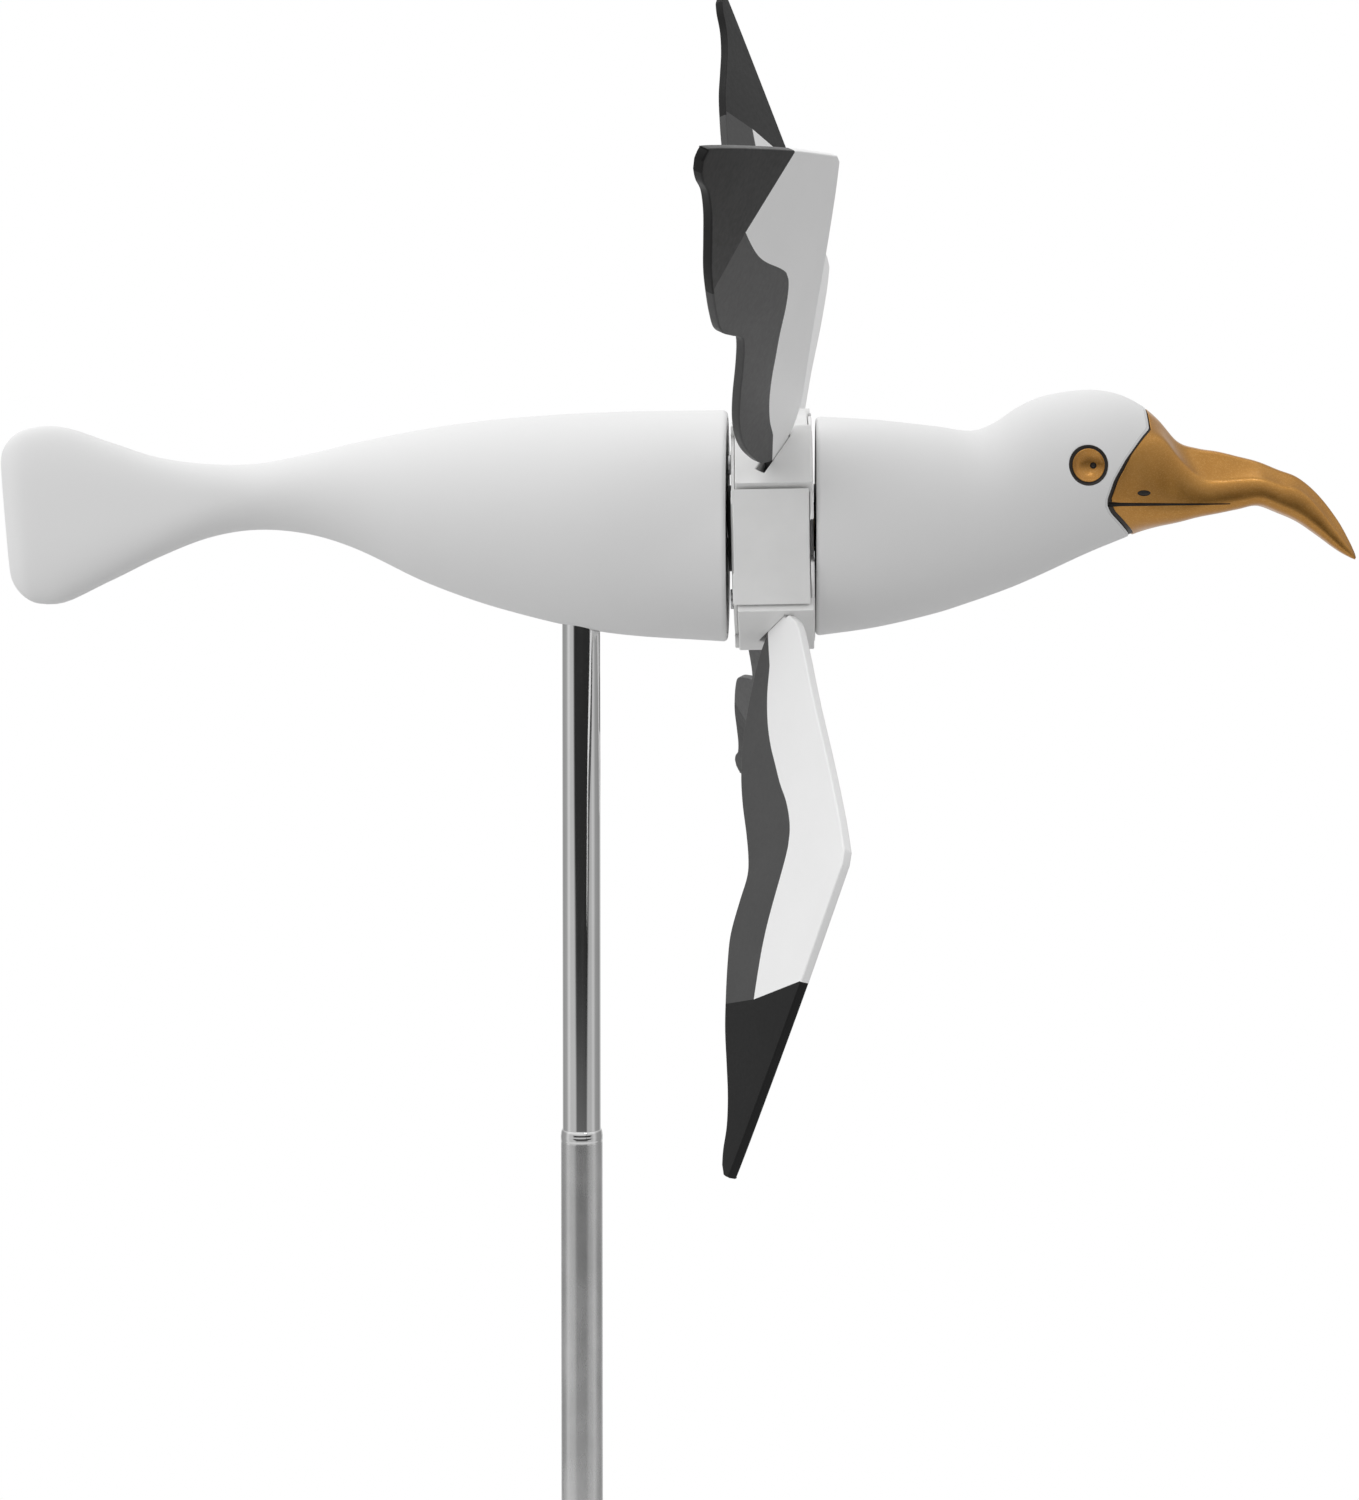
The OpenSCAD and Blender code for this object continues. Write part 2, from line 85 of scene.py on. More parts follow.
# x, top, bottom, half width, squareness
REAR = [
    (-221.6, 26.4, -20.6, 8.4, 3.2), (-207, 29.4, -21.9, 9, 3.2), (-192, 25, -15.5, 9.2, 3.2),
    (-178, 20.5, -8.7, 9.2, 3), (-163, 18.4, -2.9, 9.5, 2.4), (-149, 18.5, -0.6, 10.1, 2),
    (-134, 21.2, -1.8, 12.4, 2), (-120, 24.5, -6.1, 16.2, 2), (-99, 28.6, -16.1, 23, 2),
    (-77, 31.4, -23.7, 27.9, 2), (-48, 33.2, -30.2, 31.8, 2), (REAR_FACE, 33.8, -32.9, 33.35, 2)]
FRONT = [
    (FRONT_FACE, 32, -31.2, 31.6, 2), (30, 31, -28.7, 30, 2), (47.5, 29.1, -24.6, 27, 2),
    (58, 27.9, -21.2, 24.4, 2), (64.8, 30.6, -18.8, 23.2, 2), (70.5, 34.5, -16.6, 22.6, 2),
    (78, 37.8, -13.3, 22, 2), (90.7, 39.6, -7.4, 20.2, 2), (99.4, 38.4, -3.8, 17.6, 2),
    (106, 35.2, -1.2, 14.6, 2), (111, 31.2, 0.2, 11.9, 2), (116.7, 24.8, 1.4, 9.4, 2)]
# x, top, bottom, half width, height of the ridge as a share, sharpness of the ridge
BEAK = [
    (90.7, 39.6, -7.4, 20.2, 0.80, 0), (99.4, 38.4, -3.8, 17.6, 0.82, 0), (106, 35.2, -1.2, 14.6, 0.82, 0.5),
    (111, 31.2, 0.2, 11.9, 0.82, 0.9), (116.7, 24.8, 1.4, 9.4, 0.74, 1), (122.5, 22.8, 2.9, 7.8, 0.56, 1),
    (128.2, 21.9, 4, 7, 0.53, 1), (134, 20.5, 5.2, 6.6, 0.57, 1), (139.8, 19, 6.3, 6.2, 0.6, 1),
    (145.5, 16.7, 4.3, 5.7, 0.62, 1), (151.3, 14.4, 1.7, 5, 0.67, 1), (157.1, 9.5, -2.3, 4.1, 0.6, 1),
    (162.9, 2, -6.6, 2.8, 0.5, 1), (166.4, -4.3, -8.6, 1.5, 0.5, 1), (167.8, -7.4, -9.2, 0.7, 0.5, 1)]
# Edge between head and beak seen from the side: height, x
BEAK_EDGE = [(-14, 108), (-1.7, 102), (3.6, 96), (5.5, 94.8), (7.4, 94.6), (12.9, 96.4), (18.8, 99.8),
             (25.2, 104.7), (27.7, 107.1), (34.1, 106.9), (60, 106.5)]
BEAK_TIP_X = 167.8
OUTLINE_WIDTH = [(-14, 1.3), (23, 1.3), (28, 0.6), (60, 0.5)]   # painted groove round the beak: height, width
OUTLINE_DEPTH = 0.45
HEAD_LINE = 0.75                  # width of the painted line on the head's side of the joint
MOUTH = (92, 131, 6, 6.6)         # from x, to x, height at the first, height at the second
MOUTH_HALF = (0.72, 0.22)         # half height of the mouth's groove at its two ends
MOUTH_DEPTH = 0.5
NOSTRIL = (105.4, 9.4)            # x, height
NOSTRIL_HALF = (2.1, 0.7, 0.85)   # half length, depth, half height
BEAK_MID = (110, 0, 14)           # a point inside the beak's root, where its end closes
EYE = (89, 19.75, 17)
EYE_TURN = math.radians(12)
EYE_R = 5.7
EYE_PLAY = 0.06                   # gap between an eye and its seat
PUPIL = (1.7, 0, -0.75)           # from the eye's centre, in the eye's own plane
PUPIL_R = 0.95

PITCH = math.radians(60)
FIRST_WING = 57.7                 # degrees below level, on the bird's right
WING_T = 2.5
WING_EDGE_R = 0.45
TENON = (21, -1.2, 8.8, 35.8)     # inner end, trailing side, leading side, shoulder
# Wing outline: distance from the axle, then distance ahead of the wing's radial line
WING_LEAD = [(36, 11), (41.5, 15.5), (52, 18.8), (70, 23.6), (92, 30.2), (110, 35), (121, 37.2)]
WING_TIP = [(124.2, 36), (148, 14), (171.6, -9), (186, -23.6), (187.2, -25.8), (186, -28)]
WING_TRAIL = [(183, -28.8), (179, -28.2), (173, -26.2), (165, -25.6), (156, -26.2), (146, -27),
              (137, -26.6), (127, -25.5), (119, -23.6), (111.5, -18.5), (106, -14.2), (101, -13.4),
              (93, -14.4), (83, -16.4), (74, -17.2), (65, -16.4), (56, -13.8), (47.5, -10), (41, -6.4),
              (36.4, -2.2)]
# Printed pattern on a wing: edge between white and grey, then edge of the black tip
GREY_EDGE = [(37.5, 0.8), (46.6, 0), (55, -1.5), (64, -1.5), (72, 0), (78.5, 2.2), (86, 4.8), (93, 8),
             (99, 9.6), (103.5, 9.7), (107, 8.7), (112.3, 5.5), (121.4, -0.9), (128.2, -4.9),
             (135.5, -8), (143.3, -10.7)]
TIP_EDGE = [(138, -25.9), (143.3, -10.7), (148.5, 13.5)]

# ---------------------------------------------------------------- curves


def hermite(table, col, x):
    """Smooth curve through one column of a table whose first column is x."""
    i = 0
    while i < len(table) - 2 and x >= table[i + 1][0]:
        i += 1

    def slope(j):
        a, b = table[max(j - 1, 0)], table[min(j + 1, len(table) - 1)]
        return (b[col] - a[col]) / (b[0] - a[0])

    w = table[i + 1][0] - table[i][0]
    t = (x - table[i][0]) / w
    return ((2 * t ** 3 - 3 * t * t + 1) * table[i][col] + (t ** 3 - 2 * t * t + t) * w * slope(i)
            + (3 * t * t - 2 * t ** 3) * table[i + 1][col] + (t ** 3 - t * t) * w * slope(i + 1))


def straight(points, x):
    """Value at x of the line through (x, value) points."""
    for (x0, y0), (x1, y1) in zip(points, points[1:]):
        if x <= x1:
            break
    return y0 + (y1 - y0) * (x - x0) / (x1 - x0)


def spline(points, steps):
    """Open Catmull-Rom curve through 2-D points."""
    out = []
    last = len(points) - 1
    for i in range(last):
        a, b, c, d = [Vector(points[min(max(j, 0), last)]) for j in (i - 1, i, i + 1, i + 2)]
        for k in range(steps):
            t = k / steps
            out.append(0.5 * (2 * b + (c - a) * t + (2 * a - 5 * b + 4 * c - d) * t * t
                              + (3 * b - a - 3 * c + d) * t ** 3))
    return out + [Vector(points[-1])]


def round_in(s, r):
    """How far a rounded end pulls an outline in, at a distance s from the end."""
    return r - math.sqrt(r * r - (r - s) ** 2) if s < r else 0


def power(v, e):
    """Power that keeps the sign."""
    return math.copysign(abs(v) ** e, v)


def stations(x0, x1, step, r0, r1, round_steps=9):
    """Places from x0 to x1, closer together on rounded ends of radius r0 and r1."""
    arc = [90 * (k + 0.15) / round_steps for k in range(round_steps)]
    start = [x0 + r0 * (1 - math.cos(math.radians(a))) for a in arc] if r0 else []
    end = [x1 - r1 * (1 - math.cos(math.radians(a))) for a in reversed(arc)] if r1 else []
    n = math.ceil((x1 - x0 - r0 - r1) / step)
    return start + [x0 + r0 + (x1 - x0 - r0 - r1) * i / n for i in range(n + 1)] + end


# ---------------------------------------------------------------- meshes


def link(name, mesh):
    obj = bpy.data.objects.new(name, mesh)
    bpy.context.scene.collection.objects.link(obj)
    return obj


def mesh_object(name, points, faces, marks=None, matrix=None):
    """Closed mesh from points in millimetres; marks gives each face's material number."""
    mesh = bpy.data.meshes.new(name)
    mesh.from_pydata([(matrix or Matrix.Identity(4)) @ (Vector(p) * MM) for p in points], [], faces)
    if marks:
        mesh.polygons.foreach_set("material_index", marks)
    bm = bmesh.new()
    bm.from_mesh(mesh)
    bmesh.ops.recalc_face_normals(bm, faces=bm.faces)
    bm.to_mesh(mesh)
    bm.free()
    return link(name, mesh)


def soften(obj, angle=32):
    """Smooth shading, with edges sharper than the angle left crisp."""
    bm = bmesh.new()
    bm.from_mesh(obj.data)
    for face in bm.faces:
        face.smooth = True
    for edge in bm.edges:
        edge.smooth = len(edge.link_faces) != 2 or edge.calc_face_angle() < math.radians(angle)
    bm.to_mesh(obj.data)
    bm.free()


def cut(obj, *cutters):
    """Removes closed cutters from obj and bakes the result; the cut faces take the cutter's material."""
    for cutter in cutters:
        mod = obj.modifiers.new("cut", "BOOLEAN")
        mod.operation = "DIFFERENCE"
        mod.solver = "EXACT"
        mod.material_mode = "TRANSFER"
        mod.object = cutter
    bpy.context.view_layer.update()
    graph = bpy.context.evaluated_depsgraph_get()
    mesh = bpy.data.meshes.new_from_object(obj.evaluated_get(graph))
    obj.modifiers.clear()
    obj.data = mesh
    for cutter in cutters:
        bpy.data.objects.remove(cutter)


def ring_faces(rows, cols, wrap, offset=0):
    """Quads between rows of points."""
    out = []
    for i in range(rows - 1):
        for k in range(cols if wrap else cols - 1):
            a, b = offset + i * cols + k, offset + i * cols + (k + 1) % cols
            out.append((a, b, b + cols, a + cols))
    return out


def lathe(name, profile, segments=96, matrix=None, marks=None):
    """Solid of revolution about Z from a profile of (radius, height) in millimetres.

    The profile closes on itself unless it starts on the axis. marks gives its segments' material numbers."""
    points = []
    rings = []
    for r, z in profile:
        if r == 0:
            rings.append([len(points)])
            points.append((0, 0, z))
        else:
            rings.append(list(range(len(points), len(points) + segments)))
            points += [(r * math.cos(2 * math.pi * k / segments), r * math.sin(2 * math.pi * k / segments), z)
                       for k in range(segments)]
    faces = []
    face_marks = []
    pairs = list(zip(rings, rings[1:]))
    if len(rings[0]) > 1:
        pairs.append((rings[-1], rings[0]))
    for j, (low, high) in enumerate(pairs):
        for k in range(segments):
            a, b = low[k % len(low)], low[(k + 1) % len(low)]
            c, d = high[(k + 1) % len(high)], high[k % len(high)]
            faces.append([v for i, v in enumerate((a, b, c, d)) if v not in (a, b, c, d)[:i]])
            face_marks.append(marks[j] if marks else 0)
    return mesh_object(name, points, faces, face_marks, matrix)


def ball_profile(r, steps):
    """Profile of a ball for lathe."""
    arc = [math.pi * k / steps - math.pi / 2 for k in range(steps + 1)]
    return [(0, -r)] + [(r * math.cos(a), r * math.sin(a)) for a in arc[1:-1]] + [(0, r)]


def at_hub(x=0, y=0, z=0):
    """Shift from a place in millimetres from the rotor's centre."""
    return Matrix.Translation(HUB + Vector((x, y, z)) * MM)


def rod_y(name, x, z, y0, y1, r, segments=48):
    """Closed cylinder along Y from y0 to y1."""
    turn = Matrix.Rotation(-math.pi / 2, 4, "X")
    return lathe(name, [(0, y0), (r, y0), (r, y1), (0, y1)], segments, at_hub(x, 0, z) @ turn)


# ---------------------------------------------------------------- materials


def socket(node, key, value):
    """Links a socket, or sets a constant."""
    if isinstance(value, bpy.types.NodeSocket):
        node.id_data.links.new(value, node.inputs[key])
    else:
        node.inputs[key].default_value = value


def add(tree, kind, inputs=None, **props):
    node = tree.nodes.new("ShaderNode" + kind)
    for key, value in props.items():
        setattr(node, key, value)
    for key, value in (inputs or {}).items():
        socket(node, key, value)
    return node


def noise(tree, scale, detail=3.0, stretch=(1, 1, 1)):
    """Noise in the object's own space; stretch squeezes it along an axis."""
    coords = add(tree, "TexCoord").outputs["Object"]
    mapped = add(tree, "Mapping", {"Vector": coords, "Scale": stretch}).outputs["Vector"]
    return add(tree, "TexNoise", {"Vector": mapped, "Scale": scale, "Detail": detail}).outputs["Fac"]


def span(tree, value, low, high, from_low=0.3, from_high=0.7):
    """Maps a noise value to a range."""
    return add(tree, "MapRange", {"Value": value, "From Min": from_low, "From Max": from_high,
                                  "To Min": low, "To Max": high}).outputs["Result"]


def tint(tree, value, colour_a, colour_b):
    mixer = add(tree, "Mix", {"Factor": value}, data_type="RGBA")
    mixer.inputs["A"].default_value = (*colour_a, 1)
    mixer.inputs["B"].default_value = (*colour_b, 1)
    return mixer.outputs["Result"]


def bump(tree, height, distance, strength=1.0, normal=None):
    inputs = {"Height": height, "Distance": distance, "Strength": strength}
    if normal is not None:
        inputs["Normal"] = normal
    return add(tree, "Bump", inputs).outputs["Normal"]


def finish_material(name, build):
    """New material whose Principled inputs come from build(tree)."""
    mat = bpy.data.materials.new(name)
    mat.use_nodes = True
    tree = mat.node_tree
    shader = tree.nodes["Principled BSDF"]
    for key, value in build(tree).items():
        socket(shader, key, value)
    return mat


def gloss_white(tree):
    """Glossy moulded plastic with faint orange peel and cloudy variation."""
    cloud = span(tree, noise(tree, 25), 0, 1)
    peel = bump(tree, noise(tree, 900, 2), 0.000008)
    return {"Base Color": tint(tree, cloud, (0.65, 0.65, 0.65), (0.69, 0.69, 0.69)),
            "Roughness": span(tree, noise(tree, 60), 0.22, 0.30),
            "Coat Weight": 0.35, "Coat Roughness": 0.10, "Normal": peel}


def satin_white(tree):
    """Satin injection-moulded plastic with a fine spark-eroded texture."""
    cloud = span(tree, noise(tree, 90), 0, 1)
    return {"Base Color": tint(tree, cloud, (0.79, 0.79, 0.785), (0.83, 0.83, 0.825)),
            "Roughness": span(tree, noise(tree, 400), 0.38, 0.5),
            "Normal": bump(tree, noise(tree, 2500, 2), 0.00002)}


def wing_plastic(light, dark, rough):
    """Printed sheet plastic: fine grain and cloudy rubs."""
    def build(tree):
        grain = span(tree, noise(tree, 700, 4), 0, 1)
        cloud = span(tree, noise(tree, 60, 6), 0, 1)
        roughness = add(tree, "Math", {0: span(tree, grain, rough - 0.03, rough + 0.04, 0, 1),
                                       1: span(tree, cloud, -0.03, 0.03, 0, 1)}, operation="ADD").outputs[0]
        return {"Base Color": tint(tree, cloud, dark, light), "Roughness": roughness,
                "Specular IOR Level": 0.2, "Normal": bump(tree, grain, 0.000004)}
    return build


def gold_paint(dark, light, flake_colour):
    """Metallic gold paint: fine flake over a darker base."""
    def build(tree):
        coords = add(tree, "TexCoord").outputs["Object"]
        flake = add(tree, "TexVoronoi", {"Vector": coords, "Scale": 4200.0})
        flake_value = add(tree, "SeparateColor", {"Color": flake.outputs["Color"]}).outputs[0]
        base = tint(tree, span(tree, noise(tree, 110, 4), 0, 1), dark, light)
        sparkle = add(tree, "Mix", {"Factor": span(tree, flake_value, 0, 0.3, 0.6, 1)}, data_type="RGBA")
        socket(sparkle, "A", base)
        sparkle.inputs["B"].default_value = (*flake_colour, 1)
        return {"Base Color": sparkle.outputs["Result"], "Metallic": 0.95,
                "Roughness": span(tree, noise(tree, 300), 0.29, 0.36), "Coat Weight": 0.25,
                "Coat Roughness": 0.06, "Normal": bump(tree, flake_value, 0.000004, 0.5)}
    return build


def ink_black(tree):
    """Painted line, slightly uneven."""
    cloud = span(tree, noise(tree, 300, 5), 0, 1)
    return {"Base Color": tint(tree, cloud, (0.012, 0.009, 0.007), (0.03, 0.022, 0.016)),
            "Roughness": span(tree, cloud, 0.35, 0.5, 0, 1)}


def steel(base, rough_low, rough_high, mottle):
    """Drawn steel tube: fine lengthways drawing lines over a cloudy mottle."""
    def build(tree):
        lines = noise(tree, 900, 3, (1, 1, 0.02))
        cloud = span(tree, noise(tree, 90, 5, (1, 1, 0.5)), 0, 1)
        dark = tuple(c * (1 - mottle) for c in base)
        rough = add(tree, "Math", {0: span(tree, cloud, rough_low, rough_high, 0, 1),
                                   1: span(tree, lines, -0.02, 0.03)}, operation="ADD").outputs[0]
        return {"Base Color": tint(tree, cloud, dark, base), "Metallic": 1.0, "Roughness": rough,
                "Normal": bump(tree, lines, 0.000003)}
    return build


def brass(tree):
    cloud = span(tree, noise(tree, 200, 4), 0, 1)
    return {"Base Color": tint(tree, cloud, (0.50, 0.37, 0.15), (0.62, 0.47, 0.21)), "Metallic": 1.0,
            "Roughness": span(tree, cloud, 0.22, 0.36, 0, 1)}


def black_plastic(tree):
    cloud = span(tree, noise(tree, 350, 3), 0, 1)
    return {"Base Color": tint(tree, cloud, (0.016, 0.016, 0.017), (0.03, 0.03, 0.031)),
            "Roughness": span(tree, cloud, 0.4, 0.55, 0, 1), "Normal": bump(tree, noise(tree, 1800), 0.00002)}


M = {name: finish_material(name, build) for name, build in {
    "body_white": gloss_white,
    "hub_white": satin_white,
    "wing_white": wing_plastic((0.90, 0.90, 0.90), (0.88, 0.88, 0.88), 0.34),
    "wing_grey": wing_plastic((0.078, 0.078, 0.078), (0.068, 0.068, 0.068), 0.42),
    "wing_black": wing_plastic((0.013, 0.013, 0.013), (0.009, 0.009, 0.009), 0.38),
    "gold_paint": gold_paint((0.50, 0.237, 0.053), (0.56, 0.276, 0.067), (0.8, 0.48, 0.16)),
    "eye_gold": gold_paint((0.47, 0.215, 0.045), (0.54, 0.26, 0.06), (0.8, 0.5, 0.2)),
    "ink_black": ink_black,
    "steel_mirror": steel((0.88, 0.88, 0.88), 0.05, 0.09, 0.05),
    "steel_satin": steel((0.82, 0.82, 0.82), 0.20, 0.32, 0.2),
    "screw_steel": steel((0.55, 0.55, 0.56), 0.2, 0.32, 0.1),
    "brass": brass,
    "black_plastic": black_plastic,
}.items()}


def wear(obj, *names):
    """Gives a new piece its materials; its faces hold their numbers."""
    for name in names:
        obj.data.materials.append(M[name])


def fit_piece(obj, body, slot, *nodes):
    """Puts a finished piece on its body and hides the CAD nodes that it stands for. slot, the record's slot,
    is not used.
    """
    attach(obj, body)
    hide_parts(*nodes)


# ---------------------------------------------------------------- body shells

# Angles round a half body from its keel to its top, with a narrow row for the softened seam at each end
RING = [-90, -89.4] + [-90 + 3 * k for k in range(1, 60)] + [89.4, 90]
REAR_STEP = 2.5      # distance between sections
FRONT_STEP = 2.0
FRONT_END = 100      # where the search for the head's edge starts


def body_point(table, x, angle, inset, lean=0):
    """Point on the left half of a body, with its edge along the seam softened."""
    top, low, w = hermite(table, 1, x) - inset, hermite(table, 2, x) + inset, hermite(table, 3, x) - inset
    e = 2 / hermite(table, 4, x)
    seam = SEAM_BEVEL if abs(angle) == 90 else 0
    a = math.radians(angle)
    mid, h = (top + low) / 2, (top - low) / 2 - seam
    z = mid + h * power(math.sin(a), e)
    y = 0 if abs(angle) == 90 else w * power(math.cos(a), e)
    return Vector((x - lean * (z - mid), max(y, SEAM_GAP), z))


def half_shell(name, outer, inner, rows, closed_start, inked=False):
    """Left half of a hollow body, whose surfaces are outer(i, angle) and inner(i, angle).

    It is open at its last row, and at its first unless closed_start is set. inked paints the outer
    surface's last row of faces."""
    cols = len(RING)
    points = [surface(i, a) for surface in (outer, inner) for i in range(rows) for a in RING]
    inside = rows * cols
    faces = ring_faces(rows, cols, False) + ring_faces(rows, cols, False, inside)
    for i in range(rows - 1):
        for k in (0, cols - 1):
            a, b = i * cols + k, (i + 1) * cols + k
            faces.append((a, b, inside + b, inside + a))
    ends = [rows - 1] if closed_start else [0, rows - 1]
    for i in ends:
        for k in range(cols - 1):
            a = i * cols + k
            faces.append((a, a + 1, inside + a + 1, inside + a))
    if closed_start:
        faces.append(list(range(cols)))
        faces.append([inside + k for k in range(cols)])
        faces.append((0, cols - 1, inside + cols - 1, inside))
    marks = [0] * len(faces)
    if inked:
        first = (rows - 2) * (cols - 1)
        marks[first:first + cols - 1] = [1] * (cols - 1)
    return mesh_object(name, points, faces, marks, at_hub())


def mirrored(obj, name):
    """Copy of a left-hand piece for the bird's right."""
    mesh = obj.data.copy()
    mesh.transform(Matrix.Diagonal((1, -1, 1, 1)))
    mesh.flip_normals()
    return link(name, mesh)


def tail_slant(x):
    """Lean of a section towards the tail's end."""
    return TAIL_LEAN * min(max((TAIL_LEAN_X - x) / TAIL_LEAN_RUN, 0), 1)


def rear_half():
    """Left half of the rear body."""
    x0 = REAR[0][0]
    xs = stations(x0, REAR_FACE, REAR_STEP, TAIL_ROUND, RIM_ROUND)
    shrink = (REAR_FACE - x0 - SHELL_WALL) / (REAR_FACE - x0)

    def outer(i, angle):
        inset = round_in(xs[i] - x0, TAIL_ROUND) + round_in(REAR_FACE - xs[i], RIM_ROUND)
        return body_point(REAR, xs[i], angle, inset, tail_slant(xs[i]))

    def inner(i, angle):
        x = REAR_FACE - (REAR_FACE - xs[i]) * shrink
        inset = SHELL_WALL + round_in(x - x0 - SHELL_WALL, TAIL_ROUND - SHELL_WALL)
        return body_point(REAR, x, angle, inset, tail_slant(x))

    return half_shell("rear_body_left", outer, inner, len(xs), True)


def edge_x(point_at, start):
    """Where a lengthways line meets the edge between head and beak."""
    x = start
    for _ in range(40):
        x += 0.7 * (straight(BEAK_EDGE, point_at(x).z) - x)
    return x


def front_half():
    """Left half of the front body, trimmed to the beak's edge."""
    xs = stations(FRONT_FACE, FRONT_END, FRONT_STEP, RIM_ROUND, 0)
    shares = [(x - FRONT_FACE) / (xs[-1] - FRONT_FACE) for x in xs]
    shares.insert(-1, 1 - HEAD_LINE / (xs[-1] - FRONT_FACE))
    ends = {}
    for inset in (0, SHELL_WALL):
        for angle in RING:
            ends[inset, angle] = edge_x(lambda x: body_point(FRONT, x, angle, inset), FRONT_END)

    def surface(i, angle, inset, rim):
        x = FRONT_FACE + shares[i] * (ends[inset, angle] - FRONT_FACE)
        return body_point(FRONT, x, angle, inset + (round_in(x - FRONT_FACE, rim) if rim else 0))

    return half_shell("front_body_left", lambda i, a: surface(i, a, 0, RIM_ROUND),
                      lambda i, a: surface(i, a, SHELL_WALL, 0), len(shares), False, True)


def half_width(table, x, z):
    """Half width of a body at a place and a height."""
    top, low = hermite(table, 1, x), hermite(table, 2, x)
    rise = min(abs(2 * (z - (top + low) / 2) / (top - low)), 1)
    e = hermite(table, 4, x)
    return hermite(table, 3, x) * (1 - rise ** e) ** (1 / e)


def screw_places(node, table):
    """Screw places from the CAD node's separate solids: x, z and the body's half width there."""
    verts = [v.co for v in frame["nodes"][node].data.vertices]
    spots = []
    for co in verts:
        p = (co - HUB) / MM
        near = [s for s in spots if abs(s[0][0] - p.x) < SAME_SCREW]
        if near:
            near[0].append((p.x, p.z))
        else:
            spots.append([(p.x, p.z)])
    places = []
    for group in spots:
        x = (min(p[0] for p in group) + max(p[0] for p in group)) / 2
        z = (min(p[1] for p in group) + max(p[1] for p in group)) / 2
        places.append((x, z, half_width(table, x, z)))
    return places


def head_cutter(place, name):
    """Room for a sunk screw head in the bird's left side."""
    x, z, w = place
    return rod_y(name, x, z, w - SCREW_SINK, w + 4, SCREW_HEAD_R)


def eye_matrix():
    """Place of the left eye, facing out along its own Z."""
    return at_hub(*EYE) @ Matrix.Rotation(-EYE_TURN, 4, "Z") @ Matrix.Rotation(-math.pi / 2, 4, "X")


def build_bodies():
    """Four half shells, with the pole's hole, the eyes' seats and the sunk screw holes on the left."""
    rear = rear_half()
    pole_x = -HUB.x / MM
    hole = lathe("hole", [(0, -45), (BELLY_HOLE_R, -45), (BELLY_HOLE_R, -20), (0, -20)], 64, at_hub(pole_x))
    cut(rear, hole)
    front = front_half()
    seat_r = EYE_R + EYE_PLAY
    cut(front, lathe("hole", [(0, -8), (seat_r, -8), (seat_r, 8), (0, 8)], matrix=eye_matrix()))
    for left, name, table, screws in ((rear, "rear", REAR, "rear_shell_screws"),
                                      (front, "front", FRONT, "front_shell_screws")):
        right = mirrored(left, name + "_body_right")
        cut(left, *[head_cutter(place, "sink") for place in screw_places(screws, table)])
        for obj, side in ((left, "left"), (right, "right")):
            wear(obj, "body_white", "ink_black")
            soften(obj)
            fit_piece(obj, "bird", "body_white", f"{name}_shell_{side}")


# ---------------------------------------------------------------- beak

BEAK_ROUND = 44      # steps from the beak's keel to its top, on one side
BEAK_ROWS = 58       # steps from its groove to its tip


def beak_profile(ridge):
    """Control points of a beak section: share of the half width, share of the height."""
    return [(0, 0), (0, 0), (0, 0), (0.62, 0.0), (0.93, 0.1), (1.0, 0.36 * ridge), (1.0, 0.72 * ridge),
            (0.93, ridge - 0.01), (0.86, ridge + 0.02), (0.60, ridge + 0.38 * (1 - ridge)),
            (0.34, ridge + 0.78 * (1 - ridge)), (0.22, 0.985), (0, 1), (0, 1), (0, 1)]


def b_spline(control, p):
    """Point at share p of a uniform cubic B-spline."""
    spans = len(control) - 3
    i = min(int(p * spans), spans - 1)
    t = p * spans - i
    weights = ((1 - t) ** 3 / 6, (3 * t ** 3 - 6 * t * t + 4) / 6,
               (-3 * t ** 3 + 3 * t * t + 3 * t + 1) / 6, t ** 3 / 6)
    return sum((w * Vector(c) for w, c in zip(weights, control[i:i + 4])), Vector((0, 0)))


def beak_point(x, p, inset=0):
    """Point on the beak's left side: p runs from the keel to the top."""
    top, low, w = hermite(BEAK, 1, x), hermite(BEAK, 2, x), hermite(BEAK, 3, x)
    angle = math.pi * (p - 0.5)
    egg = Vector((math.cos(angle), (1 + math.sin(angle)) / 2))
    ridged = b_spline(beak_profile(hermite(BEAK, 4, x)), p)
    share = egg.lerp(ridged, min(max(hermite(BEAK, 5, x), 0), 1))
    point = Vector((x, w * share.x, low + (top - low) * share.y))
    centre = Vector((x, 0, (top + low) / 2))
    out = point - centre
    return centre + out * (1 - inset / max(out.length, inset + 0.01))


def beak_y(x, z):
    """Half width of the beak at a place and a height below the ridge."""
    low, high = 0.0, 0.8
    for _ in range(30):
        p = (low + high) / 2
        low, high = (p, high) if beak_point(x, p).z < z else (low, p)
    return beak_point(x, low).y


def beak_rows(p):
    """One lengthways line of the beak: the painted groove at its root, then out to the tip."""
    start = edge_x(lambda x: beak_point(x, p), 102)
    groove = straight(OUTLINE_WIDTH, beak_point(start, p).z)
    row = [(start, OUTLINE_DEPTH + 1.5), (start, OUTLINE_DEPTH), (start + groove, OUTLINE_DEPTH),
           (start + groove + 0.05, 0.12), (start + groove + 0.2, 0)]
    x0 = start + groove + 0.9
    row += [(x0 + (BEAK_TIP_X - x0) * i / BEAK_ROWS, 0) for i in range(BEAK_ROWS + 1)]
    return [beak_point(x, p, inset) for x, inset in row]


